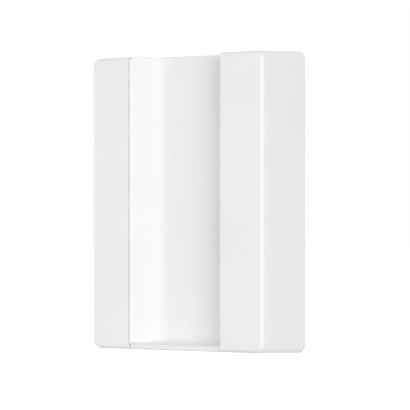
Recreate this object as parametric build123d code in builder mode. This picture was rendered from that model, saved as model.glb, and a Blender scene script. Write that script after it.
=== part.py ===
from build123d import *
import os

# Door contact sensor: a battery-powered sensor unit and a narrow magnet unit, side by side.
# Millimetres. +Z is up, the wall or door frame is the plane y = 0 and the fronts face -Y.
# The origin is the centre of the wall bracket's back, on the wall and halfway up the fronts.

# ---- driving dimensions ----
overall_depth = 25.4
front_height = 78.6
top_taper = 1.9
bottom_taper = 1.25
seam = 0.15
magnet_unit_width = 11.6
sensor_width = 40.6
block_width = 13.05
shell_wall = 1.4
rim_gap = 0.5
magnet_corner_radius = 2.5
block_corner_radius = 2.1
seam_corner_radius = 0.25
front_edge_radius = 1.3
cut_over = 0.1  # how far a cut starts outside the surface it opens
hair = 0.01  # tolerance for picking edges, and overlap of touching cuts
running_gap = 0.05

# Scoop between the sensor's left edge and its raised battery block
scoop_depth = 7.0
scoop_knee_depth = 5.5
scoop_knee_offset = 8.7
scoop_knee_radius = 6.5
scoop_corner_radius = 4.6
scoop_wall = 1.2
scoop_foot_radius = 1.1
ledge_thickness = 1.35
ledge_setback = 0.5
ledge_edge_radius = 0.2
block_edge_radius = 1.0
brink_flare = 0.03  # keeps the rounded brink's far tangent point off the front plane
profile_over = 3.0

# Wall bracket, its hooks and pad, and the sensor's slide-off travel
pad_thickness = 0.8
pad_margin = 0.8
pad_corner_radius = 1.5
pad_hole_radius = 4.2
bracket_width = 17.0
bracket_height = 64.0
bracket_thickness = 2.0
bracket_corner_radius = 2.0
bracket_offset = 12.5
release_travel = 5.0
hook_width = 4.0
hook_spacing = 11.6
hook_stem = 1.5
hook_lip = 2.5
hook_lip_thickness = 1.0
hook_gap = 0.15
hook_play = 0.2
hook_heights = (-22.0, 10.0)
wall_hole_radius = 2.1
wall_hole_spacing = 40.0
wall_countersink_radius = 3.35

# Chassis with its battery cradle
chassis_clearance = 0.1
end_clearance = 0.5
bracket_gap = 0.3
floor_thickness = 1.3
battery_floor_thickness = 1.2
floor_under_cell = 1.6
recess_clearance = 0.3
lip_height = 4.0
lip_thickness = 1.2
board_post_radius = 2.0
board_post_inset = 2.4
screw_bite = 0.6
end_wall_size = (13.0, 1.6)
end_wall_height = 13.0
end_wall_gap = 2.6
rib_size = (15.0, 1.4)
rib_height = 3.5
rib_offset = 10.0
cradle_gap = 0.15

# Circuit board and its screws
board_width = 17.6
board_height = 70.0
board_thickness = 1.2
board_level = 8.6
board_inset = 2.2
board_corner_radius = 1.0
board_screw_height = 31.0
board_hole_gap = 0.2
screw_radius = 1.0
screw_head_radius = 1.8
screw_head_height = 1.2
screw_head_rounding = 0.5
recess_arm = (1.8, 0.45)
recess_depth = 0.6

# Radio module, controller, crystal and capacitors
radio_offset = (0.6, 17.0)
radio_size = (14.0, 19.0)
radio_thickness = 0.8
shield_size = (12.6, 14.4)
shield_drop = 1.5
shield_height = 2.0
shield_corner_radius = 0.6
shield_sheet = 0.2
controller_offset = (2.0, -5.0)
controller_size = (7.0, 7.0)
controller_height = 0.9
controller_mark = 2.6
controller_mark_radius = 0.4
controller_mark_depth = 0.1
crystal_offset = (2.5, -12.0)
crystal_size = (5.0, 3.2)
crystal_height = 1.1
capacitor_corner = (1.5, -16.5)
capacitor_pitch = 2.4
capacitor_size = (0.9, 1.6)
capacitor_height = 0.8
capacitor_rows = 3
capacitor_columns = 3

# Antenna coil
antenna_radius = 1.9
antenna_wire = 0.3
antenna_pitch = 1.3
antenna_length = 8.0
antenna_offset = (-6.0, 30.8)

# Reed switch
reed_offset = 4.6
reed_height = -3.0
reed_stand = 2.2
reed_glass_radius = 1.1
reed_half_length = 7.0
reed_glass_rounding = 0.7
reed_bore = 0.8
reed_end_wall = 1.2
reed_lead_radius = 0.3
reed_lead_reach = 2.0
reed_lead_bend = 0.8
blade_overlap = 0.8
blade_end_gap = 1.5
blade_root = 0.4
blade_thickness = 0.2
blade_width = 1.0
blade_stagger = 0.2

# Status light
light_offset = 8.0
light_height = -17.0
led_size = (2.0, 1.2)
led_height = 0.8
led_rounding = 0.15
pipe_foot_radius = 2.2
pipe_foot_height = 1.6
pipe_radius = 1.3
pipe_length = 8.0
pipe_tip_rounding = 0.3
pipe_pocket = (2.4, 1.6)
pipe_pocket_depth = 1.0

# Tamper switch, plunger and spring
plunger_radius = 1.5
plunger_travel = 1.2
plunger_height = -4.0
flange_radius = 4.4
flange_thickness = 0.6
tamper_body = 4.5
tamper_body_height = 1.5
tamper_corner_radius = 0.4
tamper_stem_radius = 1.0
tamper_stem_height = 0.55
tamper_spring_wire = 0.2
tamper_spring_radius = 3.7
tamper_spring_turns = 2.5
ramp_margin = 0.6

# Pairing button
pairing_offset = 8.5
pairing_height = -25.0
pairing_body = 6.0
pairing_body_height = 3.4
pairing_corner_radius = 0.5
pairing_button_radius = 1.7
pairing_button_length = 2.4
pairing_button_sink = 0.8
pairing_button_rounding = 0.3
pairing_well_depth = 1.2

# Battery: one CR123A cell, its contacts, spring and leads
cell_radius = 8.5
cell_length = 33.5
cell_nub_radius = 3.0
cell_nub_length = 1.0
cell_nub_rounding = 0.3
cell_offset = 29.6
cell_level = 10.7
cell_rounding = 0.8
sleeve_thickness = 0.15
sleeve_margin = 0.9
contact_thickness = 0.4
contact_size = (9.0, 10.0)
contact_corner_radius = 1.0
contact_level = 9.5
contact_dimple_radius = 2.0
battery_wire = 0.35
battery_spring_radius = 3.0
battery_spring_turns = 1.5
lead_radius = 0.45
lead_start = 4.2
lead_middle = (7.5, 2.5)
lead_end = 10.3

# Magnet unit's insides
magnet_size = (5.0, 40.0, 5.0)
magnet_level = 10.0
magnet_chamfer = 0.4
magnet_hole_radius = 1.75
magnet_hole_spacing = 60.0
magnet_countersink_radius = 3.1
base_thickness = 2.0
base_lip_height = 2.0
base_lip = 0.8
cradle_wall = 0.9
cradle_height = 24.0
cradle_side = 3.0
cradle_well = (3.2, 18.0)
cradle_bed = 1.0
cradle_stop = 2.5
clip_thickness = 0.4
clip_height = 8.0
clip_reach = 6.0
clip_rounding = 0.35
magnet_pad_height = 50.0
magnet_pad_corner_radius = 1.0

# ---- places worked out from them ----
sensor_left = -bracket_offset
sensor_right = sensor_left + sensor_width
block_left = sensor_right - block_width
scoop_width = sensor_width - block_width
scoop_x = sensor_left + scoop_width / 2
magnet_unit_left = sensor_left - seam - magnet_unit_width
magnet_x = magnet_unit_left + magnet_unit_width / 2
magnet_right = sensor_left - seam
front_top = front_height / 2
front_bottom = -front_height / 2
rear_height = front_height + top_taper + bottom_taper
bracket_x = 0.0
bracket_front = pad_thickness + bracket_thickness
floor_level = bracket_front + bracket_gap
floor_top = floor_level + floor_thickness
battery_floor_top = pad_thickness + battery_floor_thickness
board_top = board_level + board_thickness
board_x = sensor_left + board_inset + board_width / 2
cell_x = sensor_left + cell_offset
plunger_at = (bracket_x, plunger_height)


def from_wall(distance):
    """Plane parallel to the wall, that far in front of it and facing forwards."""
    return Plane.XZ.offset(distance)


def top_at(distance):
    """Height of the units' top at a distance from the wall: it falls towards the front."""
    return front_top + top_taper * (overall_depth - distance) / overall_depth


def bottom_at(distance):
    """Height of the units' bottom at a distance from the wall: it rises towards the front."""
    return front_bottom - bottom_taper * (overall_depth - distance) / overall_depth


def slab(centre, size, start, thickness, mode=Mode.ADD):
    """Rectangular block on the (x, z) centre, from start to start + thickness off the wall."""
    with BuildSketch(from_wall(start)) as outline:
        with Locations(centre):
            Rectangle(*size)
    extrude(outline.sketch, amount=thickness, mode=mode)


def post(centre, radius, start, length, mode=Mode.ADD):
    """Round post or bore on the (x, z) centre, standing off the wall."""
    with BuildSketch(from_wall(start)) as outline:
        with Locations(centre):
            Circle(radius)
    extrude(outline.sketch, amount=length, mode=mode)


def tapered_prism(left, width, inset, rear):
    """Block that fills a unit's shell, or its hollow when inset by the wall thickness."""
    front = overall_depth - inset
    with BuildPart() as prism:
        with BuildSketch(Plane.YZ.offset(left + inset)):
            with BuildLine():
                Polyline(
                    (-rear, top_at(rear) - inset),
                    (-front, top_at(front) - inset),
                    (-front, bottom_at(front) + inset),
                    (-rear, bottom_at(rear) + inset),
                    close=True,
                )
            make_face()
        extrude(amount=width - 2 * inset)
    return prism.part


def beyond_brink():
    """Corners of the profiles below, past the block's front edge and out in front of it."""
    far_right = block_left + profile_over
    far_front = -overall_depth - 2 * profile_over
    return (
        (far_right, -overall_depth - profile_over * brink_flare),
        (far_right, far_front),
        (sensor_left - profile_over, far_front),
    )


def scoop_prism(bottom, grow):
    """Space of the scoop, open at the top and front; grow thickens it by the wall."""
    knee = (sensor_left + scoop_knee_offset, scoop_knee_depth - overall_depth)
    corner = (block_left, scoop_depth - overall_depth)
    brink = (block_left, -overall_depth)
    rise = scoop_knee_depth / scoop_knee_offset
    start = (sensor_left - profile_over, -overall_depth - profile_over * rise)
    with BuildPart() as prism:
        with BuildSketch(Plane.XY.offset(bottom)):
            with BuildLine():
                Polyline(start, knee, corner, brink, *beyond_brink(), close=True)
            make_face()
            fillet(vertices().sort_by_distance((*knee, 0))[0], scoop_knee_radius)
            fillet(vertices().sort_by_distance((*corner, 0))[0], scoop_corner_radius)
            fillet(vertices().sort_by_distance((*brink, 0))[0], block_edge_radius)
            if grow > 0:
                offset(amount=grow, kind=Kind.INTERSECTION)
        extrude(amount=rear_height)
    return prism.part


def ledge_prism(top):
    """Space in front of the ledge, with the same rounded brink on the block's edge."""
    back = ledge_setback - overall_depth
    brink = (block_left, -overall_depth)
    rounding = min(block_edge_radius, 0.9 * ledge_setback)
    with BuildPart() as prism:
        with BuildSketch(Plane.XY.offset(-rear_height / 2)):
            with BuildLine():
                Polyline((sensor_left - profile_over, back), (block_left, back), brink, *beyond_brink(),
                         close=True)
            make_face()
            fillet(vertices().sort_by_distance((*brink, 0))[0], rounding)
        extrude(amount=rear_height / 2 + top)
    return prism.part


def lengthwise(edge):
    """True for the edges that run from the rear rim to the front."""
    return abs(edge.tangent_at(0.5).Y) > 0.9


def in_scoop_foot(edge):
    """True for the edges where the scoop's surface meets the ledge."""
    middle = edge.center()
    level = abs(middle.Z - scoop_floor) < hair and abs(edge.tangent_at(0.5).Z) < hair
    return level and cut_over < overall_depth + middle.Y < scoop_depth + scoop_wall


def on_ledge_front(edge):
    """True for the long edges along the front of the ledge."""
    middle = edge.center()
    at_front = abs(overall_depth + middle.Y - ledge_setback) < hair
    return at_front and edge.length > scoop_width / 2 and middle.Z < 0


def beside_seam(edge):
    """True for the front edges of the magnet cover's right side."""
    middle = edge.center()
    return abs(middle.X - magnet_right) < hair and middle.Y < front_edge_radius - overall_depth


# ---- sensor cover: tapered shell with the raised block, the scoop and the ledge under it ----
scoop_floor = front_bottom + ledge_thickness
scoop_space = scoop_prism(scoop_floor, 0)
scoop_skin = scoop_prism(-rear_height / 2, scoop_wall)
ledge_space = ledge_prism(scoop_floor + hair)

with BuildPart() as sensor_cavity:
    add(tapered_prism(sensor_left, sensor_width, shell_wall, 0))
    add(scoop_skin, mode=Mode.SUBTRACT)
    with BuildSketch(Plane.XY.offset(front_top - shell_wall)):
        with Locations((scoop_x, -overall_depth / 2)):
            Rectangle(scoop_width + 2 * shell_wall, 2 * overall_depth)
    extrude(amount=rear_height, mode=Mode.SUBTRACT)

with BuildPart() as sensor_cover:
    add(tapered_prism(sensor_left, sensor_width, 0, rim_gap))
    fillet(edges().filter_by(lengthwise).group_by(Axis.X)[-1], block_corner_radius)
    front_edges = faces().sort_by(Axis.Y)[0].edges()
    fillet(front_edges.filter_by(lambda edge: edge.center().X > sensor_left + shell_wall), front_edge_radius)
    fillet(edges().filter_by(lengthwise).group_by(Axis.X)[0], seam_corner_radius)
    add(scoop_space, mode=Mode.SUBTRACT)
    fillet(edges().filter_by(in_scoop_foot), scoop_foot_radius)
    # The ledge's front stands back from the fronts on either side
    add(ledge_space, mode=Mode.SUBTRACT)
    # Level top over the scoop
    with BuildSketch(Plane.XY.offset(front_top)):
        with Locations((scoop_x, -overall_depth / 2)):
            Rectangle(scoop_width, 2 * overall_depth)
    extrude(amount=rear_height, mode=Mode.SUBTRACT)
    fillet(edges().filter_by(on_ledge_front), ledge_edge_radius)
    add(sensor_cavity.part, mode=Mode.SUBTRACT)

# ---- sensor chassis: back plate with the bracket's recess, hook slots and battery cradle ----
plate_left = sensor_left + shell_wall + chassis_clearance
plate_right = sensor_right - shell_wall - chassis_clearance
plate_top = top_at(lip_height) - shell_wall - end_clearance
plate_bottom = bottom_at(lip_height) + shell_wall + end_clearance
plate_step_x = block_left + shell_wall + chassis_clearance
plate_low_top = front_top - shell_wall - chassis_clearance
board_side_right = cell_x - cell_radius + floor_under_cell
recess_top = bracket_height / 2 + recess_clearance
recess_bottom = -bracket_height / 2 - recess_clearance - release_travel
hook_xs = (bracket_x - hook_spacing / 2, bracket_x + hook_spacing / 2)
slot_size = (hook_width + 2 * hook_play, hook_stem + release_travel + 2 * hook_play)
post_reach = board_width / 2 - board_post_inset
post_xs = (board_x - post_reach, board_x + post_reach)
screw_places = ((post_xs[0], -board_screw_height), (post_xs[1], board_screw_height))

with BuildSketch() as plate_outline:
    with BuildLine():
        Polyline(
            (plate_left, plate_bottom),
            (plate_right, plate_bottom),
            (plate_right, plate_top),
            (plate_step_x, plate_top),
            (plate_step_x, plate_low_top),
            (plate_left, plate_low_top),
            close=True,
        )
    make_face()

with BuildSketch() as lip_outline:
    add(plate_outline.sketch)
    offset(plate_outline.sketch, amount=-lip_thickness, kind=Kind.INTERSECTION, mode=Mode.SUBTRACT)

with BuildPart() as chassis:
    extrude(from_wall(pad_thickness) * plate_outline.sketch, amount=battery_floor_thickness)
    thick_centre = ((plate_left + board_side_right) / 2, (plate_low_top + plate_bottom) / 2)
    thick_size = (board_side_right - plate_left, plate_low_top - plate_bottom)
    slab(thick_centre, thick_size, pad_thickness, floor_top - pad_thickness)
    recess_centre = (bracket_x, (recess_top + recess_bottom) / 2)
    recess_size = (bracket_width + 2 * recess_clearance, recess_top - recess_bottom)
    recess_back = pad_thickness - cut_over
    slab(recess_centre, recess_size, recess_back, floor_level - recess_back, Mode.SUBTRACT)
    # Upstanding lip that fits inside the cover's skirt
    extrude(from_wall(battery_floor_top) * lip_outline.sketch, amount=lip_height)
    # Slots that drop over the bracket's hooks, and the tamper plunger's guide
    through = floor_thickness + 2 * cut_over
    for hook_x in hook_xs:
        for hook_z in hook_heights:
            slot_z = hook_z + hook_stem + hook_play - slot_size[1] / 2
            slab((hook_x, slot_z), slot_size, floor_level - cut_over, through, Mode.SUBTRACT)
    post(plunger_at, plunger_radius + running_gap, floor_level - cut_over, through, Mode.SUBTRACT)
    # Posts for the circuit board, two of them bored for its screws
    for post_x in post_xs:
        for post_z in (-board_screw_height, board_screw_height):
            post((post_x, post_z), board_post_radius, floor_top, board_level - floor_top)
    for place in screw_places:
        post(place, screw_radius + running_gap, floor_top - screw_bite, board_level, Mode.SUBTRACT)
    # End walls of the battery cradle, and the ribs that hold the cell
    for side in (-1, 1):
        wall_z = side * (cell_length / 2 + end_wall_gap + end_wall_size[1] / 2)
        slab((cell_x, wall_z), end_wall_size, battery_floor_top, end_wall_height)
        slab((cell_x, side * rib_offset), rib_size, battery_floor_top, rib_height)
    with BuildSketch(Plane.XY.offset(-cell_length / 2)):
        with Locations((cell_x, -cell_level)):
            Circle(cell_radius + cradle_gap)
    extrude(amount=cell_length, mode=Mode.SUBTRACT)

# ---- wall bracket: screwed or stuck to the frame, with four hooks and a ramp for the plunger ----
with BuildPart() as wall_bracket:
    slab((bracket_x, 0), (bracket_width, bracket_height), pad_thickness, bracket_thickness)
    fillet(edges().filter_by(Axis.Y), bracket_corner_radius)
    lip_start = floor_top + hook_gap
    for hook_x in hook_xs:
        for hook_z in hook_heights:
            stem_z = hook_z + hook_stem / 2
            slab((hook_x, stem_z), (hook_width, hook_stem), bracket_front, lip_start - bracket_front)
            lip_z = hook_z + (hook_stem + hook_lip) / 2
            slab((hook_x, lip_z), (hook_width, hook_stem + hook_lip), lip_start, hook_lip_thickness)
    with Locations(from_wall(bracket_front)):
        with GridLocations(0, wall_hole_spacing, 1, 2):
            CounterSinkHole(wall_hole_radius, wall_countersink_radius, depth=bracket_thickness)
    # The plunger drops down this ramp as the sensor is slid off upwards
    ramp_start = plunger_height - hook_play
    ramp_run = release_travel + plunger_radius + ramp_margin
    ramp_depth = ramp_run * plunger_travel / release_travel
    with BuildSketch(Plane.YZ.offset(bracket_x - plunger_radius - ramp_margin)):
        with BuildLine():
            Polyline(
                (-bracket_front - hair, ramp_start),
                (ramp_depth - bracket_front, ramp_start + ramp_run),
                (-bracket_front - hair, ramp_start + ramp_run),
                close=True,
            )
        make_face()
    extrude(amount=2 * (plunger_radius + ramp_margin), mode=Mode.SUBTRACT)

# ---- adhesive pad behind the bracket, clear of its two screw holes ----
with BuildPart() as bracket_adhesive:
    pad_size = (bracket_width - 2 * pad_margin, bracket_height - 2 * pad_margin)
    slab((bracket_x, 0), pad_size, 0, pad_thickness)
    fillet(edges().filter_by(Axis.Y), pad_corner_radius)
    for side in (-1, 1):
        hole = (bracket_x, side * wall_hole_spacing / 2)
        post(hole, pad_hole_radius, -cut_over, pad_thickness + 2 * cut_over, Mode.SUBTRACT)

# ---- circuit board ----
with BuildPart() as circuit_board:
    slab((board_x, 0), (board_width, board_height), board_level, board_thickness)
    fillet(edges().filter_by(Axis.Y), board_corner_radius)
    for place in screw_places:
        through = board_thickness + 2 * cut_over
        post(place, screw_radius + board_hole_gap, board_level - cut_over, through, Mode.SUBTRACT)

# ---- two pan-head screws with crossed recesses that hold the board ----
with BuildPart() as board_screws:
    for place in screw_places:
        post(place, screw_radius, floor_top, board_top - floor_top)
        post(place, screw_head_radius, board_top, screw_head_height)
    fillet(faces().sort_by(Axis.Y)[:2].edges(), screw_head_rounding)
    recess_start = board_top + screw_head_height - recess_depth
    for place in screw_places:
        for arm in (recess_arm, recess_arm[::-1]):
            slab(place, arm, recess_start, recess_depth + cut_over, Mode.SUBTRACT)

# ---- radio module and its sheet-metal shield ----
radio_at = (board_x + radio_offset[0], radio_offset[1])
with BuildPart() as radio_module:
    slab(radio_at, radio_size, board_top, radio_thickness)

with BuildPart() as radio_shield:
    shield_base = board_top + radio_thickness
    shield_at = (radio_at[0], radio_at[1] - shield_drop)
    slab(shield_at, shield_size, shield_base, shield_height)
    fillet(edges().filter_by(Axis.Y), shield_corner_radius)
    fillet(faces().sort_by(Axis.Y)[0].edges(), 1.5 * shield_sheet)
    inside = (shield_size[0] - 2 * shield_sheet, shield_size[1] - 2 * shield_sheet)
    hollow = shield_height - shield_sheet + cut_over
    slab(shield_at, inside, shield_base - cut_over, hollow, Mode.SUBTRACT)

# ---- controller, crystal and capacitors ----
controller_at = (board_x + controller_offset[0], controller_offset[1])
with BuildPart() as microcontroller:
    slab(controller_at, controller_size, board_top, controller_height)
    mark_at = (controller_at[0] - controller_mark, controller_at[1] + controller_mark)
    mark_start = board_top + controller_height - controller_mark_depth
    post(mark_at, controller_mark_radius, mark_start, 2 * controller_mark_depth, Mode.SUBTRACT)

with BuildPart() as crystal:
    slab((board_x + crystal_offset[0], crystal_offset[1]), crystal_size, board_top, crystal_height)
    fillet(edges().filter_by(Axis.Y), shield_corner_radius)

with BuildPart() as capacitors:
    for column in range(capacitor_columns):
        for row in range(capacitor_rows):
            capacitor_x = board_x + capacitor_corner[0] + capacitor_pitch * column
            capacitor_z = capacitor_corner[1] - capacitor_pitch * row
            slab((capacitor_x, capacitor_z), capacitor_size, board_top, capacitor_height)

# ---- antenna: a coil of bare wire across the top of the board ----
coil_level = board_top + antenna_radius + antenna_wire
coil_start = (board_x + antenna_offset[0], -coil_level, antenna_offset[1])
with BuildPart() as antenna:
    with BuildLine() as coil:
        Helix(antenna_pitch, antenna_length, antenna_radius, center=coil_start, direction=(1, 0, 0))
    with BuildSketch(Plane(origin=coil.line @ 0, z_dir=coil.line % 0)):
        Circle(antenna_wire)
    sweep(is_frenet=True)

# ---- reed switch: glass tube with its two blades, on the side next to the magnet ----
reed_x = sensor_left + reed_offset
reed_level = board_top + reed_stand
reed_axis = Plane(origin=(reed_x, -reed_level, reed_height))
with BuildPart() as reed_glass:
    with BuildSketch(from_wall(reed_level)):
        with Locations((reed_x + reed_glass_radius / 2, reed_height)):
            Rectangle(reed_glass_radius, 2 * reed_half_length)
    revolve(axis=Axis((reed_x, -reed_level, 0), (0, 0, 1)))
    fillet(edges().filter_by(GeomType.CIRCLE), reed_glass_rounding)
    with BuildSketch(reed_axis.offset(reed_end_wall - reed_half_length)):
        Circle(reed_bore)
    extrude(amount=2 * (reed_half_length - reed_end_wall), mode=Mode.SUBTRACT)
    with BuildSketch(reed_axis.offset(-reed_half_length - cut_over)):
        Circle(reed_lead_radius)
    extrude(amount=2 * (reed_half_length + cut_over), mode=Mode.SUBTRACT)

blade_end = reed_half_length - blade_end_gap
blade_length = blade_end + blade_overlap
with BuildPart() as reed_blades:
    for side in (-1, 1):
        bend_z = reed_height + side * (reed_half_length + reed_lead_reach)
        with BuildLine() as lead:
            FilletPolyline(
                (reed_x, -reed_level, reed_height + side * (blade_end - blade_root)),
                (reed_x, -reed_level, bend_z),
                (reed_x, -board_top, bend_z),
                radius=reed_lead_bend,
            )
        with BuildSketch(Plane(origin=lead.line @ 0, z_dir=lead.line % 0)):
            Circle(reed_lead_radius - running_gap / 2)
        sweep(path=lead.line)
        blade_z = reed_height + side * (blade_end - blade_length / 2)
        blade_start = reed_level - blade_width / 2
        blade_at = (reed_x + side * blade_stagger, blade_z)
        slab(blade_at, (blade_thickness, blade_length), blade_start, blade_width)

# ---- status light and the clear pipe that carries it to the thin scoop wall ----
light_at = (sensor_left + light_offset, light_height)
with BuildPart() as status_led:
    slab(light_at, led_size, board_top, led_height)
    fillet(faces().sort_by(Axis.Y)[0].edges(), led_rounding)

with BuildPart() as light_pipe:
    post(light_at, pipe_foot_radius, board_top, pipe_foot_height)
    post(light_at, pipe_radius, board_top, pipe_length)
    fillet(faces().sort_by(Axis.Y)[0].edges(), pipe_tip_rounding)
    slab(light_at, pipe_pocket, board_top - cut_over, pipe_pocket_depth + cut_over, Mode.SUBTRACT)

# ---- tamper switch under the board, with its sprung plunger against the bracket ----
flange_top = board_level - tamper_body_height - tamper_stem_height - running_gap
flange_bottom = flange_top - flange_thickness
plunger_tip = bracket_front + running_gap
with BuildPart() as tamper_switch:
    tamper_start = board_level - tamper_body_height
    slab(plunger_at, (tamper_body, tamper_body), tamper_start, tamper_body_height)
    fillet(edges().filter_by(Axis.Y), tamper_corner_radius)
    post(plunger_at, tamper_stem_radius, tamper_start - tamper_stem_height, tamper_stem_height)

with BuildPart() as tamper_plunger:
    ball_level = plunger_tip + plunger_radius
    post(plunger_at, plunger_radius, ball_level, flange_bottom - ball_level)
    with Locations((plunger_at[0], -ball_level, plunger_at[1])):
        Sphere(plunger_radius)
    post(plunger_at, flange_radius, flange_bottom, flange_thickness)

with BuildPart() as tamper_spring:
    spring_start = flange_top + tamper_spring_wire + running_gap
    spring_length = board_level - tamper_spring_wire - running_gap - spring_start
    spring_pitch = spring_length / tamper_spring_turns
    spring_base = (plunger_at[0], -spring_start, plunger_at[1])
    with BuildLine() as coil:
        Helix(spring_pitch, spring_length, tamper_spring_radius, center=spring_base, direction=(0, -1, 0))
    with BuildSketch(Plane(origin=coil.line @ 0, z_dir=coil.line % 0)):
        Circle(tamper_spring_wire)
    sweep(is_frenet=True)

# ---- pairing button on the board, reached with the cover off ----
pairing_at = (sensor_left + pairing_offset, pairing_height)
pairing_top = board_top + pairing_body_height
with BuildPart() as pairing_switch:
    slab(pairing_at, (pairing_body, pairing_body), board_top, pairing_body_height)
    fillet(edges().filter_by(Axis.Y), pairing_corner_radius)
    well_radius = pairing_button_radius + running_gap
    well_start = pairing_top - pairing_well_depth
    post(pairing_at, well_radius, well_start, pairing_well_depth + cut_over, Mode.SUBTRACT)

with BuildPart() as pairing_button:
    post(pairing_at, pairing_button_radius, pairing_top - pairing_button_sink, pairing_button_length)
    fillet(faces().sort_by(Axis.Y)[0].edges(), pairing_button_rounding)

# ---- battery cell and its shrink sleeve ----
cell_axis = Plane(origin=(cell_x, -cell_level, 0))
cell_bottom = -(cell_length + cell_nub_length) / 2
cell_shoulder = cell_bottom + cell_length
with BuildPart() as battery_cell:
    with BuildSketch(cell_axis.offset(cell_bottom)):
        Circle(cell_radius - sleeve_thickness)
    extrude(amount=cell_length)
    fillet(edges().filter_by(GeomType.CIRCLE), cell_rounding)
    with BuildSketch(cell_axis.offset(cell_shoulder)):
        Circle(cell_nub_radius)
    extrude(amount=cell_nub_length)
    fillet(faces().sort_by(Axis.Z)[-1].edges(), cell_nub_rounding)

with BuildPart() as battery_sleeve:
    with BuildSketch(cell_axis.offset(cell_bottom + sleeve_margin)):
        Circle(cell_radius)
        Circle(cell_radius - sleeve_thickness, mode=Mode.SUBTRACT)
    extrude(amount=cell_length - 2 * sleeve_margin)

# ---- battery contacts, the negative one's spring and the two leads to the board ----
wall_face = cell_length / 2 + end_wall_gap
contact_face = wall_face - contact_thickness
contact_plane = Plane(origin=(cell_x, -contact_level, 0))
with BuildPart() as battery_contact_positive:
    with BuildSketch(contact_plane.offset(contact_face)):
        RectangleRounded(*contact_size, contact_corner_radius)
    extrude(amount=contact_thickness)
    nub_end = cell_shoulder + cell_nub_length
    with BuildSketch(cell_axis.offset(nub_end)):
        Circle(contact_dimple_radius)
    extrude(amount=contact_face - nub_end)

with BuildPart() as battery_contact_negative:
    with BuildSketch(contact_plane.offset(-wall_face)):
        RectangleRounded(*contact_size, contact_corner_radius)
    extrude(amount=contact_thickness)

with BuildPart() as battery_spring:
    spring_start = battery_wire - contact_face
    spring_length = cell_bottom - battery_wire - spring_start
    spring_pitch = spring_length / battery_spring_turns
    spring_base = (cell_x, -cell_level, spring_start)
    with BuildLine() as coil:
        Helix(spring_pitch, spring_length, battery_spring_radius, center=spring_base)
    with BuildSketch(Plane(origin=coil.line @ 0, z_dir=coil.line % 0)):
        Circle(battery_wire)
    sweep(is_frenet=True)

with BuildPart() as battery_leads:
    for side in (-1, 1):
        lead_z = side * (contact_face - lead_radius - running_gap)
        with BuildLine() as lead:
            Spline(
                (cell_x - lead_start, -contact_level, lead_z),
                (cell_x - lead_middle[0], -contact_level - lead_middle[1], lead_z),
                (cell_x - lead_end, -board_top - lead_radius, lead_z),
            )
        with BuildSketch(Plane(origin=lead.line @ 0, z_dir=lead.line % 0)):
            Circle(lead_radius)
        sweep(path=lead.line)

# ---- magnet unit: cover, base with its cradle, bar magnet, clip and adhesive pad ----
with BuildPart() as magnet_cover:
    add(tapered_prism(magnet_unit_left, magnet_unit_width, 0, rim_gap))
    fillet(edges().filter_by(lengthwise).group_by(Axis.X)[0], magnet_corner_radius)
    front_edges = faces().sort_by(Axis.Y)[0].edges()
    fillet(front_edges.filter_by(lambda edge: edge.center().X < magnet_right - shell_wall), front_edge_radius)
    # Next to the seam the edges are only just rounded
    fillet(edges().filter_by(beside_seam), seam_corner_radius)
    add(tapered_prism(magnet_unit_left, magnet_unit_width, shell_wall, 0), mode=Mode.SUBTRACT)

base_width = magnet_unit_width - 2 * (shell_wall + chassis_clearance)
base_height = plate_top - plate_bottom
base_centre = (magnet_x, (plate_top + plate_bottom) / 2)
base_front = pad_thickness + base_thickness
magnet_width, magnet_height, magnet_depth = magnet_size
magnet_space = magnet_width + 2 * running_gap
cradle_width = magnet_space + 2 * cradle_wall
cradle_rise = magnet_level - base_front
with BuildPart() as magnet_base:
    slab(base_centre, (base_width, base_height), pad_thickness, base_thickness + base_lip_height)
    inside = (base_width - 2 * base_lip, base_height - 2 * base_lip)
    slab(base_centre, inside, base_front, base_lip_height, Mode.SUBTRACT)
    with Locations(from_wall(base_front)):
        with Locations((magnet_x, magnet_hole_spacing / 2), (magnet_x, -magnet_hole_spacing / 2)):
            CounterSinkHole(magnet_hole_radius, magnet_countersink_radius, depth=base_thickness)
    # Cradle: bed, side walls and end stops around the magnet
    slab((magnet_x, 0), (cradle_width, cradle_height), base_front, cradle_rise + cradle_side)
    slab((magnet_x, 0), (magnet_space, magnet_height), magnet_level, magnet_depth, Mode.SUBTRACT)
    slab((magnet_x, 0), cradle_well, base_front + cradle_bed, magnet_level, Mode.SUBTRACT)
    for side in (-1, 1):
        stop_z = side * (magnet_height / 2 + running_gap + cradle_wall / 2)
        slab((magnet_x, stop_z), (magnet_width, cradle_wall), base_front, cradle_rise + cradle_stop)

with BuildPart() as bar_magnet:
    slab((magnet_x, 0), (magnet_width, magnet_height), magnet_level, magnet_depth)
    chamfer(edges(), magnet_chamfer)

clip_inner = cradle_width + 2 * running_gap
clip_start = magnet_level + magnet_depth + running_gap - clip_reach
with BuildPart() as magnet_clip:
    clip_size = (clip_inner + 2 * clip_thickness, clip_height)
    slab((magnet_x, 0), clip_size, clip_start, clip_reach + clip_thickness)
    fillet(faces().sort_by(Axis.Y)[0].edges().filter_by(Axis.Z), clip_rounding)
    clip_space = (clip_inner, clip_height + 2 * cut_over)
    slab((magnet_x, 0), clip_space, clip_start - cut_over, clip_reach + cut_over, Mode.SUBTRACT)

with BuildPart() as magnet_adhesive:
    slab((magnet_x, 0), (base_width - pad_margin, magnet_pad_height), 0, pad_thickness)
    fillet(edges().filter_by(Axis.Y), magnet_pad_corner_radius)

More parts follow.
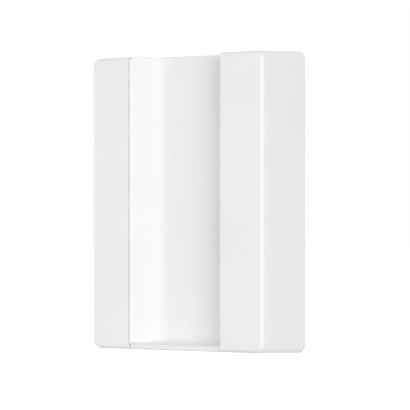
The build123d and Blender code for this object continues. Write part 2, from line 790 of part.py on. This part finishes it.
# ---- write every piece ----
pieces = {
    "wall_bracket": wall_bracket,
    "bracket_adhesive": bracket_adhesive,
    "sensor_cover": sensor_cover,
    "chassis": chassis,
    "circuit_board": circuit_board,
    "board_screws": board_screws,
    "radio_module": radio_module,
    "radio_shield": radio_shield,
    "microcontroller": microcontroller,
    "crystal": crystal,
    "capacitors": capacitors,
    "antenna": antenna,
    "reed_glass": reed_glass,
    "reed_blades": reed_blades,
    "status_led": status_led,
    "light_pipe": light_pipe,
    "tamper_switch": tamper_switch,
    "tamper_plunger": tamper_plunger,
    "tamper_spring": tamper_spring,
    "pairing_switch": pairing_switch,
    "pairing_button": pairing_button,
    "battery_cell": battery_cell,
    "battery_sleeve": battery_sleeve,
    "battery_contact_positive": battery_contact_positive,
    "battery_contact_negative": battery_contact_negative,
    "battery_spring": battery_spring,
    "battery_leads": battery_leads,
    "magnet_cover": magnet_cover,
    "magnet_base": magnet_base,
    "bar_magnet": bar_magnet,
    "magnet_clip": magnet_clip,
    "magnet_adhesive": magnet_adhesive,
}
os.makedirs("parts", exist_ok=True)
for name, piece in pieces.items():
    piece.part.label = name
    export_step(piece.part, f"parts/{name}.step")
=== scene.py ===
"""Looks of the two-piece door contact sensor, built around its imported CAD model."""

import math

import bmesh
import bpy
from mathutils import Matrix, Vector


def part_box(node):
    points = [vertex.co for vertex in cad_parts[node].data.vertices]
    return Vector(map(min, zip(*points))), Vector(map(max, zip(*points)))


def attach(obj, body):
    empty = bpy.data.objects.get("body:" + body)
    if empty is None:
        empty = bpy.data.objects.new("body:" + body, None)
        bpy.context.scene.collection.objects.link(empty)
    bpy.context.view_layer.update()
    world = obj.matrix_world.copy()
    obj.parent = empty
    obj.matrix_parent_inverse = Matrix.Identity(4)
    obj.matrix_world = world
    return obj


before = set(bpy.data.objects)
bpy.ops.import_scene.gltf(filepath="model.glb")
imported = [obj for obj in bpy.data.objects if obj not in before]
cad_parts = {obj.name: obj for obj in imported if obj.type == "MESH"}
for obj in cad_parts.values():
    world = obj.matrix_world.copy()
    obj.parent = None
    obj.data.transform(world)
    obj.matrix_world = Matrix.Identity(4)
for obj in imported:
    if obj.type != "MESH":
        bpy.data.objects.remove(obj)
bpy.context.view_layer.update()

MM = 0.001

# ---- where the object is ----
cover_low, cover_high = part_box("sensor_cover")
cap_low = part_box("magnet_cover")[0]
object_centre = Vector(((cap_low.x + cover_high.x) / 2, cover_low.y / 2, 0))


# ---- small helpers for node materials ----
class Nodes:
    """Adds nodes to one material's tree and joins them up."""

    def __init__(self, name):
        self.material = bpy.data.materials.new(name)
        self.material.use_nodes = True
        self.tree = self.material.node_tree
        self.shader = self.tree.nodes["Principled BSDF"]

    def add(self, kind, **inputs):
        """A new node; each input is a value or another node's output socket."""
        node = self.tree.nodes.new(kind)
        for key, value in inputs.items():
            self.set(node, key.replace("_", " "), value)
        return node

    def set(self, node, key, value):
        """Gives a socket a value, or links another socket to it."""
        socket = node.inputs[key]
        if isinstance(value, bpy.types.NodeSocket):
            self.tree.links.new(value, socket)
        else:
            socket.default_value = value

    def place(self):
        """The point's place on the object, in metres."""
        return self.add("ShaderNodeTexCoord").outputs["Object"]

    def noise(self, scale_mm, detail=2.0, stretch=(1, 1, 1)):
        """Noise with features about that many millimetres across."""
        place = self.add("ShaderNodeMapping", Vector=self.place(), Scale=stretch)
        texture = self.add("ShaderNodeTexNoise", Vector=place.outputs["Vector"], Detail=detail)
        self.set(texture, "Scale", 1 / (scale_mm * MM))
        return texture.outputs["Fac"]

    def span(self, factor, low, high):
        """Maps a factor of about 0.3 to 0.7 onto the range low to high."""
        node = self.add("ShaderNodeMapRange")
        self.set(node, "Value", factor)
        self.set(node, "From Min", 0.3)
        self.set(node, "From Max", 0.7)
        self.set(node, "To Min", low)
        self.set(node, "To Max", high)
        return node.outputs["Result"]

    def blend(self, factor, first, second):
        """Mixes two colours by a factor."""
        node = self.add("ShaderNodeMix")
        node.data_type = "RGBA"
        self.set(node, "Factor", factor)
        for key, value in (("A", first), ("B", second)):
            socket = [s for s in node.inputs if s.name == key and s.type == "RGBA"][0]
            if isinstance(value, bpy.types.NodeSocket):
                self.tree.links.new(value, socket)
            else:
                socket.default_value = (*value, 1)
        return [s for s in node.outputs if s.type == "RGBA"][0]

    def mix_value(self, factor, first, second):
        """Mixes two plain values by a factor."""
        node = self.add("ShaderNodeMix", Factor=factor)
        for key, value in (("A", first), ("B", second)):
            self.set(node, key, value)
        return node.outputs["Result"]

    def rounded(self, radius_mm):
        """Normals that read as edges rounded by that many millimetres."""
        return self.add("ShaderNodeBevel", Radius=radius_mm * MM).outputs["Normal"]

    def edges(self, soft_normal):
        """A mask that is 1 on the edges which soft_normal rounds, and 0 on the flat."""
        true_normal = self.add("ShaderNodeNewGeometry").outputs["Normal"]
        node = self.add("ShaderNodeVectorMath")
        node.operation = "DOT_PRODUCT"
        self.tree.links.new(soft_normal, node.inputs[0])
        self.tree.links.new(true_normal, node.inputs[1])
        mask = self.add("ShaderNodeMapRange")
        self.set(mask, "Value", node.outputs["Value"])
        self.set(mask, "From Min", 1.0)
        self.set(mask, "From Max", 0.9)
        return mask.outputs["Result"]

    def along(self, axis, low, high):
        """0 below the place low and 1 above high on one axis, both in metres."""
        split = self.add("ShaderNodeSeparateXYZ", Vector=self.place())
        node = self.add("ShaderNodeMapRange")
        self.set(node, "Value", split.outputs["XYZ".index(axis)])
        self.set(node, "From Min", low)
        self.set(node, "From Max", high)
        return node.outputs["Result"]

    def facing_front(self):
        """1 on faces square to the wall's normal, front or back, and 0 on the edges between them."""
        normal = self.add("ShaderNodeNewGeometry").outputs["Normal"]
        split = self.add("ShaderNodeSeparateXYZ", Vector=normal)
        size = self.add("ShaderNodeMath")
        size.operation = "ABSOLUTE"
        self.tree.links.new(split.outputs["Y"], size.inputs[0])
        node = self.add("ShaderNodeMapRange")
        self.set(node, "Value", size.outputs["Value"])
        self.set(node, "From Min", 0.6)
        self.set(node, "From Max", 0.8)
        return node.outputs["Result"]

    def bump(self, height, depth_mm, normal=None):
        """Bump from a height factor, that many millimetres deep."""
        node = self.add("ShaderNodeBump", Height=height, Distance=depth_mm * MM, Strength=1.0)
        if normal is not None:
            self.set(node, "Normal", normal)
        return node.outputs["Normal"]


# Sizes of the larger marks in moulded plastic, in millimetres
DRIFT_MM = 18
POLISH_MM = 4
SINK_MM = 14
SINK_DEPTH = 0.02


def plastic(name, colour, roughness, grain_mm=0.35, grain_depth=0.005, mottling=0.012, edge_mm=0):
    """Moulded plastic: a faint drift of colour, spark-eroded grain, shallow sinks and softened edges, whose
    colour is painted lighter as a highlight and whose gloss is raised.
    """
    nodes = Nodes(name)
    drift = nodes.span(nodes.noise(DRIFT_MM, detail=3), 0, 1)
    light = [min(1, c * (1 + mottling)) for c in colour]
    dark = [c * (1 - mottling) for c in colour]
    base = nodes.blend(drift, dark, light)
    rough = nodes.span(nodes.noise(POLISH_MM, detail=4), roughness - 0.03, roughness + 0.03)
    soft = None
    if edge_mm > 0:
        soft = nodes.rounded(edge_mm)
        # Painted highlight: the colour is made a little lighter on the rounded edges, and the same mask
        # also makes the edges glossier.
        edge_highlight_and_polish = nodes.edges(soft)
        base = nodes.blend(edge_highlight_and_polish, base, [min(1, c * 1.04) for c in colour])
        rough = nodes.mix_value(edge_highlight_and_polish, rough, roughness - 0.12)
    sinks = nodes.bump(nodes.noise(SINK_MM, detail=2), SINK_DEPTH, soft)
    nodes.set(nodes.shader, "Base Color", base)
    nodes.set(nodes.shader, "Roughness", rough)
    nodes.set(nodes.shader, "Normal", nodes.bump(nodes.noise(grain_mm, detail=1), grain_depth, sinks))
    nodes.set(nodes.shader, "IOR", 1.5)
    return nodes.material


TARNISH_MM = 5
TARNISH = 0.14


def metal(name, colour, roughness, brush=(1, 1, 1), scratch_mm=0.6, depth=0.002):
    """Metal with fine drawn or tumbled marks and slight tarnish."""
    nodes = Nodes(name)
    marks = nodes.noise(scratch_mm, detail=3, stretch=brush)
    tarnish = nodes.noise(TARNISH_MM, detail=3)
    dull = [c * (1 - TARNISH) for c in colour]
    nodes.set(nodes.shader, "Base Color", nodes.blend(nodes.span(tarnish, 0, 1), dull, colour))
    nodes.set(nodes.shader, "Metallic", 1.0)
    nodes.set(nodes.shader, "Roughness", nodes.span(marks, roughness - 0.06, roughness + 0.08))
    nodes.set(nodes.shader, "Normal", nodes.bump(marks, depth))
    return nodes.material


def clear(name, colour, roughness):
    """Clear glass or acrylic with faint flow lines."""
    nodes = Nodes(name)
    nodes.set(nodes.shader, "Base Color", (*colour, 1))
    nodes.set(nodes.shader, "Transmission Weight", 0.9)
    nodes.set(nodes.shader, "IOR", 1.49)
    nodes.set(nodes.shader, "Roughness", nodes.span(nodes.noise(1.5), roughness, roughness + 0.05))
    nodes.set(nodes.shader, "Normal", nodes.bump(nodes.noise(2.5), 0.01))
    return nodes.material


def laminate(name, mask, edge):
    """Circuit board: glossy solder mask over a faint glass weave, and bare laminate on the cut edges."""
    nodes = Nodes(name)
    weave = nodes.noise(0.5, detail=1, stretch=(1, 1, 3))
    thick = nodes.span(nodes.noise(6, detail=3), 0, 1)
    coat = nodes.blend(thick, [c * 0.8 for c in mask], [c * 1.15 for c in mask])
    nodes.set(nodes.shader, "Base Color", nodes.blend(nodes.facing_front(), edge, coat))
    nodes.set(nodes.shader, "Roughness", nodes.span(weave, 0.22, 0.38))
    nodes.set(nodes.shader, "Normal", nodes.bump(weave, 0.01))
    return nodes.material


GRIME = (0.20, 0.20, 0.21)


def two_tone(name, lower, upper, border, roughness, wrinkle_mm):
    """Sleeve or insulation with one colour below a height and another above it, lightly wrinkled."""
    nodes = Nodes(name)
    step = nodes.along("Z", border, border + 0.05 * MM)
    drift = nodes.span(nodes.noise(5, detail=3), 0, 0.25)
    colour = nodes.blend(step, lower, upper)
    nodes.set(nodes.shader, "Base Color", nodes.blend(drift, colour, GRIME))
    nodes.set(nodes.shader, "Roughness", nodes.span(nodes.noise(2), roughness - 0.05, roughness + 0.08))
    nodes.set(nodes.shader, "Normal", nodes.bump(nodes.noise(wrinkle_mm, stretch=(1, 1, 0.3)), 0.02))
    return nodes.material


def dress(material, *names):
    """Gives CAD nodes a material."""
    for name in names:
        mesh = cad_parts[name].data
        mesh.materials.clear()
        mesh.materials.append(material)


dress(plastic("cover_white", (0.90, 0.90, 0.90), 0.36, edge_mm=0.35), "sensor_cover", "magnet_cover")
dress(plastic("base_white", (0.76, 0.76, 0.75), 0.5, grain_depth=0.012),
      "chassis", "magnet_base", "wall_bracket")
dress(plastic("foam_tape", (0.50, 0.51, 0.52), 0.85, grain_mm=0.5, grain_depth=0.05, mottling=0.08),
      "bracket_adhesive", "magnet_adhesive")
dress(laminate("solder_mask", (0.01, 0.12, 0.05), (0.50, 0.42, 0.22)), "circuit_board", "radio_module")
dress(plastic("chip_epoxy", (0.02, 0.02, 0.022), 0.55), "microcontroller")
dress(plastic("switch_nylon", (0.03, 0.03, 0.033), 0.5), "tamper_switch", "pairing_switch")
dress(plastic("acetal", (0.78, 0.78, 0.73), 0.35), "tamper_plunger", "pairing_button")
dress(plastic("capacitor_ceramic", (0.42, 0.30, 0.19), 0.45, mottling=0.1), "capacitors")
dress(plastic("led_epoxy", (0.85, 0.78, 0.45), 0.2), "status_led")
BAND_SHARE = 0.2
sleeve_low, sleeve_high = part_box("battery_sleeve")
band_start = sleeve_high.z - BAND_SHARE * (sleeve_high.z - sleeve_low.z)
dress(two_tone("cell_sleeve", (0.02, 0.05, 0.17), (0.62, 0.62, 0.60), band_start, 0.25, 3),
      "battery_sleeve")
dress(two_tone("wire_insulation", (0.015, 0.015, 0.017), (0.45, 0.02, 0.015), 0, 0.4, 1), "battery_leads")
dress(metal("tinned_sheet", (0.72, 0.72, 0.70), 0.3), "radio_shield", "crystal")
dress(metal("nickel_plate", (0.70, 0.69, 0.66), 0.22), "battery_cell", "bar_magnet")
dress(metal("spring_steel", (0.62, 0.62, 0.61), 0.3), "tamper_spring", "battery_spring",
      "battery_contact_positive", "battery_contact_negative", "magnet_clip")
dress(metal("zinc_screw", (0.60, 0.60, 0.58), 0.35), "board_screws")
dress(metal("tinned_wire", (0.68, 0.67, 0.64), 0.28), "reed_blades")
dress(metal("copper_wire", (0.80, 0.42, 0.24), 0.3), "antenna")
dress(clear("reed_tube", (0.80, 0.92, 0.84), 0.02), "reed_glass")
dress(clear("acrylic", (0.97, 0.98, 0.99), 0.04), "light_pipe")


# ---- small metal and printed details on the sensor's circuit board, in millimetres ----
board_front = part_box("circuit_board")[0].y / MM
PRINT_SINK = 0.02


def span_mm(node):
    """A node's left, right, bottom and top on the board, in millimetres."""
    low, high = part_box(node)
    return low.x / MM, high.x / MM, low.z / MM, high.z / MM


def centre_mm(node):
    """A node's (x, z) centre on the board, in millimetres."""
    left, right, bottom, top = span_mm(node)
    return (left + right) / 2, (bottom + top) / 2


def on_board(x, z, height):
    """Point at (x, z), standing off the board's front by a height."""
    return Vector((x, board_front - height, z))


def sweep_outline(shape, outline, offset):
    """Solid between an outline and its copy moved by offset."""
    near = [shape.verts.new(point) for point in outline]
    far = [shape.verts.new(point + offset) for point in outline]
    shape.faces.new(near)
    shape.faces.new(far[::-1])
    for i in range(len(near)):
        j = (i + 1) % len(near)
        shape.faces.new((near[j], near[i], far[i], far[j]))


def bar(shape, left, right, bottom, top, height, foot=-PRINT_SINK):
    """Flat rectangular solid on the board."""
    corners = ((left, bottom), (right, bottom), (right, top), (left, top))
    sweep_outline(shape, [on_board(x, z, foot) for x, z in corners], Vector((0, foot - height, 0)))


def turned(shape, centre, profile, ring=False, steps=20):
    """Solid turned about a line off the board, from (radius, height) pairs; a ring's profile closes."""
    turns = [2 * math.pi * i / steps for i in range(steps)]
    hoops = []
    for radius, height in profile:
        hoop = []
        for turn in turns:
            place = (centre[0] + radius * math.cos(turn), centre[1] + radius * math.sin(turn))
            hoop.append(shape.verts.new(on_board(*place, height)))
        hoops.append(hoop)
    pairs = list(zip(hoops, hoops[1:]))
    if ring:
        pairs.append((hoops[-1], hoops[0]))
    else:
        shape.faces.new(hoops[0])
        shape.faces.new(hoops[-1][::-1])
    for lower, upper in pairs:
        for i in range(steps):
            j = (i + 1) % steps
            shape.faces.new((lower[i], lower[j], upper[j], upper[i]))


def track(shape, points, width, height, sharpest=0.3):
    """Strip of even width along a bent line on the board; sharpest limits how far a corner reaches."""
    line = [Vector(point) for point in points]
    sides = ([], [])
    for i, point in enumerate(line):
        before = (point - line[i - 1]).normalized() if i > 0 else (line[1] - point).normalized()
        after = (line[i + 1] - point).normalized() if i < len(line) - 1 else before
        mean = (before + after).normalized()
        reach = width / 2 / max(sharpest, mean.dot(before))
        across = Vector((-mean.y, mean.x)) * reach
        sides[0].append(point + across)
        sides[1].append(point - across)
    outline = [on_board(p.x, p.y, -PRINT_SINK) for p in sides[0] + sides[1][::-1]]
    sweep_outline(shape, outline, Vector((0, -PRINT_SINK - height, 0)))


def route(start, end):
    """Bent line between two places: upright first, then at 45 degrees."""
    dx, dz = end[0] - start[0], end[1] - start[1]
    corner = (start[0], end[1] - math.copysign(min(abs(dx), abs(dz)), dz))
    return [start, corner, end]


def spread_evenly(count, pitch):
    """Places at an even pitch, centred on 0."""
    return [(i - (count - 1) / 2) * pitch for i in range(count)]


WELD_MM = 0.001


def board_piece(name, build, material):
    """Makes a mesh from build(shape), in millimetres, that rides on the sensor."""
    shape = bmesh.new()
    build(shape)
    bmesh.ops.remove_doubles(shape, verts=shape.verts, dist=WELD_MM)
    bmesh.ops.scale(shape, vec=(MM, MM, MM), verts=shape.verts)
    bmesh.ops.recalc_face_normals(shape, faces=shape.faces)
    mesh = bpy.data.meshes.new(name)
    shape.to_mesh(mesh)
    shape.free()
    mesh.materials.append(material)
    piece = bpy.data.objects.new(name, mesh)
    bpy.context.scene.collection.objects.link(piece)
    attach(piece, "sensor")


# Gull-wing pins on the controller's four sides
PIN_COUNT = 8
PIN_PITCH = 0.75
PIN_WIDTH = 0.32
PIN_REACH = 0.85
PIN_UPPER_EDGE = ((-0.1, 0.50), (0.25, 0.50), (0.42, 0.12), (PIN_REACH, 0.12))
PIN_LOWER_EDGE = ((PIN_REACH, 0), (0.34, 0), (0.17, 0.38), (-0.1, 0.38))
chip_left, chip_right, _, _ = span_mm("microcontroller")
chip_x, chip_z = centre_mm("microcontroller")
chip_half = (chip_right - chip_left) / 2
pin_shifts = spread_evenly(PIN_COUNT, PIN_PITCH)


def build_pins(shape):
    """Eight bent pins on each side of the controller."""
    for turn in range(4):
        out = Vector((math.cos(turn * math.pi / 2), math.sin(turn * math.pi / 2)))
        along = Vector((-out.y, out.x))
        for shift in pin_shifts:
            start = Vector((chip_x, chip_z)) + along * (shift - PIN_WIDTH / 2)
            outline = []
            for reach, height in PIN_UPPER_EDGE + PIN_LOWER_EDGE:
                place = start + out * (chip_half + reach)
                outline.append(on_board(place.x, place.y, height))
            sweep_outline(shape, outline, Vector((along.x, 0, along.y)) * PIN_WIDTH)


# Metal ends on the capacitors, which stand in a square grid
CAPACITOR_GRID = 3
CAPACITOR_WIDTH = 0.9
CAPACITOR_LENGTH = 1.6
END_LENGTH = 0.35
END_STAND = 0.03
grid_left, grid_right, grid_bottom, grid_top = span_mm("capacitors")
capacitor_height = (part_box("capacitors")[1].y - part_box("capacitors")[0].y) / MM
column_pitch = (grid_right - grid_left - CAPACITOR_WIDTH) / (CAPACITOR_GRID - 1)
row_pitch = (grid_top - grid_bottom - CAPACITOR_LENGTH) / (CAPACITOR_GRID - 1)
capacitor_places = [
    (grid_left + CAPACITOR_WIDTH / 2 + column_pitch * column,
     grid_bottom + CAPACITOR_LENGTH / 2 + row_pitch * row)
    for column in range(CAPACITOR_GRID)
    for row in range(CAPACITOR_GRID)
]


def build_capacitor_ends(shape):
    """A plated end at the top and bottom of each capacitor."""
    half_width = CAPACITOR_WIDTH / 2 + END_STAND
    for x, z in capacitor_places:
        for side in (-1, 1):
            near = z + side * (CAPACITOR_LENGTH / 2 - END_LENGTH)
            far = z + side * (CAPACITOR_LENGTH / 2 + END_STAND)
            low, high = min(near, far), max(near, far)
            bar(shape, x - half_width, x + half_width, low, high, capacitor_height + END_STAND)


# Solder at the wires' ends: a low, hollow-sided cone
SOLDER_PROFILE = ((0.80, -PRINT_SINK), (0.76, 0.06), (0.58, 0.14), (0.46, 0.30), (0.40, 0.52), (0.30, 0.62))
blade_x = centre_mm("reed_blades")[0]
blade_bottom, blade_top = span_mm("reed_blades")[2:]
LEAD_RADIUS = 0.3
lead_left, _, lead_bottom, lead_top = span_mm("battery_leads")
WIRE_RADIUS = 0.45
coil_left, coil_right, coil_bottom, coil_top = span_mm("antenna")
solder_places = [
    (blade_x, blade_bottom + LEAD_RADIUS),
    (blade_x, blade_top - LEAD_RADIUS),
    (lead_left + WIRE_RADIUS, lead_bottom + WIRE_RADIUS),
    (lead_left + WIRE_RADIUS, lead_top - WIRE_RADIUS),
    (coil_left + WIRE_RADIUS, (coil_bottom + coil_top) / 2),
    (coil_right - WIRE_RADIUS, (coil_bottom + coil_top) / 2),
]


def build_solder(shape):
    """A joint at each wire's end."""
    for place in solder_places:
        turned(shape, place, SOLDER_PROFILE)


# Plated pads down the radio module's sides
PAD_PITCH = 1.6
PAD_WIDTH = 0.8
PAD_INSET = 0.5
PAD_STAND = 0.04
module_left, module_right, module_bottom, module_top = span_mm("radio_module")
module_height = (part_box("radio_module")[1].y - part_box("radio_module")[0].y) / MM
pad_count = int((module_top - module_bottom - PAD_WIDTH) / PAD_PITCH)
pad_heights = [module_bottom + PAD_WIDTH + i * PAD_PITCH for i in range(pad_count)]


def build_module_pads(shape):
    """Pads that wrap over the module's left and right edges."""
    for edge, inwards in ((module_left, 1), (module_right, -1)):
        near, far = edge - inwards * PAD_STAND, edge + inwards * PAD_INSET
        for z in pad_heights:
            bar(shape, min(near, far), max(near, far), z, z + PAD_WIDTH, module_height + PAD_STAND)


# Dimples pressed up from the shield's lid
DIMPLE_COLUMNS = 4
DIMPLE_ROWS = 5
DIMPLE_PITCH = 2.4
DIMPLE_PROFILE = ((0.55, -PRINT_SINK), (0.50, 0.03), (0.36, 0.08), (0.15, 0.10))
shield_x, shield_z = centre_mm("radio_shield")
shield_stand = board_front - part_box("radio_shield")[0].y / MM


def build_dimples(shape):
    """Rows of low domes centred on the lid."""
    raised = [(radius, height + shield_stand) for radius, height in DIMPLE_PROFILE]
    for across in spread_evenly(DIMPLE_COLUMNS, DIMPLE_PITCH):
        for up in spread_evenly(DIMPLE_ROWS, DIMPLE_PITCH):
            turned(shape, (shield_x + across, shield_z + up), raised)


# Tracks, plated holes and the printed outlines round the parts
TRACK_WIDTH = 0.25
TRACK_HEIGHT = 0.035
pin_end = chip_half + PIN_REACH
crystal_x, crystal_z = centre_mm("crystal")
crystal_left, _, _, crystal_top = span_mm("crystal")
switch_top = span_mm("pairing_switch")[3]
_, light_right, _, light_top = span_mm("light_pipe")
board_left, board_right, board_bottom, _ = span_mm("circuit_board")
VIA_GAP = 0.4
VIA_COUNT = 6
VIA_PITCH = 2.0
VIA_ROW_INSET = (4.0, 1.4)
VIA_PROFILE = ((0.18, -PRINT_SINK), (0.18, 0.05), (0.38, 0.05), (0.38, -PRINT_SINK))
OUTLINE_GAP = 0.35
OUTLINE_WIDTH = 0.18
OUTLINE_HEIGHT = 0.03
TRACK_STEP = 0.5
BEND_COUNT = 5
FAN_OUT = 1.6


def planned_routes():
    """Every track, from the controller to the radio, crystal, switch, light, reed and battery leads."""
    routes = []
    for shift in pin_shifts:
        spread = (module_left + module_right) / 2 + shift * FAN_OUT
        routes.append(route((chip_x + shift, chip_z + pin_end), (spread, module_bottom)))
    for side in (-1, 1):
        start = (chip_x + side * PIN_PITCH / 2, chip_z - pin_end)
        routes.append(route(start, (crystal_x + side * PIN_PITCH, crystal_top)))
    left = chip_x - pin_end
    bends = [left - TRACK_STEP * i for i in range(BEND_COUNT)]
    channel = (light_right + crystal_left) / 2
    for i in range(2):
        start = (left, chip_z + pin_shifts[i])
        bend = bends[i + 1]
        lane = channel - TRACK_STEP * (i - 0.5)
        routes.append([
            start,
            (bend, start[1]),
            (bend, crystal_z),
            (lane, crystal_z - (lane - bend)),
            (lane, switch_top),
        ])
    start = (left, chip_z + pin_shifts[2])
    routes.append([start, (bends[3], start[1]), (bends[3], light_top)])
    for pin, bend, end in ((3, bends[4], blade_bottom), (6, bends[2], blade_top)):
        start = (left, chip_z + pin_shifts[pin])
        joint = (blade_x, end + math.copysign(LEAD_RADIUS, -end))
        routes.append([start, (bend, start[1])] + route((bend, start[1]), joint)[1:])
    right = board_right - 2 * WIRE_RADIUS
    for end in (lead_bottom + WIRE_RADIUS, lead_top - WIRE_RADIUS):
        start = (chip_x + pin_end, chip_z + math.copysign(pin_shifts[6], end))
        routes.append([start, (right, start[1]), (right, end)])
    return routes


def build_tracks(shape):
    """Raised copper lines under the solder mask."""
    for points in planned_routes():
        track(shape, points, TRACK_WIDTH, TRACK_HEIGHT)


def build_vias(shape):
    """A plated hole below each capacitor, and a row of them along the board's bottom edge."""
    for x, z in capacitor_places:
        turned(shape, (x, z - CAPACITOR_LENGTH / 2 - VIA_GAP), VIA_PROFILE, ring=True)
    row_start = (board_left + VIA_ROW_INSET[0], board_bottom + VIA_ROW_INSET[1])
    for i in range(VIA_COUNT):
        turned(shape, (row_start[0] + VIA_PITCH * i, row_start[1]), VIA_PROFILE, ring=True)


def build_outlines(shape):
    """A thin printed frame round each part that has one."""
    for node in ("radio_module", "crystal", "pairing_switch"):
        left, right, bottom, top = span_mm(node)
        left, bottom = left - OUTLINE_GAP, bottom - OUTLINE_GAP
        right, top = right + OUTLINE_GAP, top + OUTLINE_GAP
        for edge in (left, right):
            bar(shape, edge - OUTLINE_WIDTH / 2, edge + OUTLINE_WIDTH / 2, bottom, top, OUTLINE_HEIGHT)
        for edge in (bottom, top):
            bar(shape, left, right, edge - OUTLINE_WIDTH / 2, edge + OUTLINE_WIDTH / 2, OUTLINE_HEIGHT)


tin = metal("tin_plate", (0.74, 0.74, 0.73), 0.28, scratch_mm=0.3)
gold = metal("gold_flash", (0.86, 0.64, 0.32), 0.3, scratch_mm=0.3)
track_green = plastic("track_green", (0.02, 0.20, 0.08), 0.3, mottling=0.1)
legend_white = plastic("legend_white", (0.75, 0.75, 0.73), 0.6, mottling=0.05)
board_piece("controller_pins", build_pins, tin)
board_piece("capacitor_ends", build_capacitor_ends, tin)
board_piece("solder_joints", build_solder, tin)
board_piece("module_pads", build_module_pads, gold)
board_piece("shield_dimples", build_dimples, bpy.data.materials["tinned_sheet"])
board_piece("board_tracks", build_tracks, track_green)
board_piece("board_vias", build_vias, gold)
board_piece("board_outlines", build_outlines, legend_white)


# ---- stage: pale floor, soft light and the camera ----
def add_floor(drop, half_width):
    """Plain pale floor below the object."""
    mesh = bpy.data.meshes.new("floor")
    z = cover_low.z - drop
    signs = ((-1, -1), (1, -1), (1, 1), (-1, 1))
    corners = [(x * half_width, y * half_width, z) for x, y in signs]
    mesh.from_pydata(corners, [], [(0, 1, 2, 3)])
    floor = bpy.data.objects.new("floor", mesh)
    bpy.context.scene.collection.objects.link(floor)
    nodes = Nodes("floor_white")
    nodes.set(nodes.shader, "Base Color", (0.95, 0.95, 0.95, 1))
    nodes.set(nodes.shader, "Roughness", 0.9)
    nodes.set(nodes.shader, "Emission Color", (1, 1, 1, 1))
    nodes.set(nodes.shader, "Emission Strength", 0.6)
    mesh.materials.append(nodes.material)
    floor.visible_diffuse = False


def add_softbox(name, azimuth, distance, size, power):
    """Square area light level with the object; azimuth 0 is in front, and positive is to the right."""
    light = bpy.data.lights.new(name, "AREA")
    light.shape = "SQUARE"
    light.size = size
    light.energy = power
    box = bpy.data.objects.new(name, light)
    turn = math.radians(azimuth)
    offset = Vector((math.sin(turn), -math.cos(turn), 0))
    box.location = object_centre + offset * distance
    box.rotation_euler = (-offset).to_track_quat("-Z", "Y").to_euler()
    bpy.context.scene.collection.objects.link(box)


def set_world(below, ambient, above, seen):
    """White surroundings: diffuse light goes from below underfoot, through ambient at the horizon, to above
    overhead. The camera and gloss see an even strength instead."""
    world = bpy.data.worlds.new("studio")
    bpy.context.scene.world = world
    world.use_nodes = True
    tree = world.node_tree
    background = tree.nodes["Background"]
    background.inputs["Color"].default_value = (1, 1, 1, 1)
    direction = tree.nodes.new("ShaderNodeTexCoord")
    split = tree.nodes.new("ShaderNodeSeparateXYZ")
    rise = tree.nodes.new("ShaderNodeMapRange")
    rise.inputs["From Min"].default_value = -1
    ramp = tree.nodes.new("ShaderNodeValToRGB")
    stops = ramp.color_ramp.elements
    stops.new(0.5)
    for stop, strength in zip(stops, (below, ambient, above)):
        stop.color = (strength, strength, strength, 1)
    path = tree.nodes.new("ShaderNodeLightPath")
    choice = tree.nodes.new("ShaderNodeMapRange")
    choice.inputs["To Min"].default_value = seen
    tree.links.new(direction.outputs["Generated"], split.inputs["Vector"])
    tree.links.new(split.outputs["Z"], rise.inputs["Value"])
    tree.links.new(rise.outputs["Result"], ramp.inputs["Fac"])
    tree.links.new(ramp.outputs["Color"], choice.inputs["To Max"])
    tree.links.new(path.outputs["Is Diffuse Ray"], choice.inputs["Value"])
    tree.links.new(choice.outputs["Result"], background.inputs["Strength"])


def add_camera(azimuth, distance, height, lens, shift):
    """Level camera to the right of the front."""
    camera = bpy.data.cameras.new("camera")
    camera.lens = lens
    camera.sensor_width = 36
    camera.shift_x, camera.shift_y = shift
    camera.clip_start = 0.01
    view = bpy.data.objects.new("camera", camera)
    turn = math.radians(azimuth)
    view.location = object_centre + Vector((math.sin(turn) * distance, -math.cos(turn) * distance, height))
    view.rotation_euler = (math.radians(90), 0, turn)
    bpy.context.scene.collection.objects.link(view)
    bpy.context.scene.camera = view


add_floor(drop=0.5, half_width=60)
set_world(below=0.36, ambient=0.59, above=0.60, seen=1.0)
add_softbox("key_light", azimuth=50, distance=0.9, size=0.6, power=3.75)
add_softbox("rim_light", azimuth=-82, distance=0.9, size=0.25, power=1.2)
add_softbox("fill_light", azimuth=-45, distance=0.9, size=0.8, power=1.1)
add_camera(azimuth=28.947, distance=0.51313, height=-0.0082, lens=165.94, shift=(0.01607, 0.0698))
bpy.context.scene.view_settings.view_transform = "Standard"
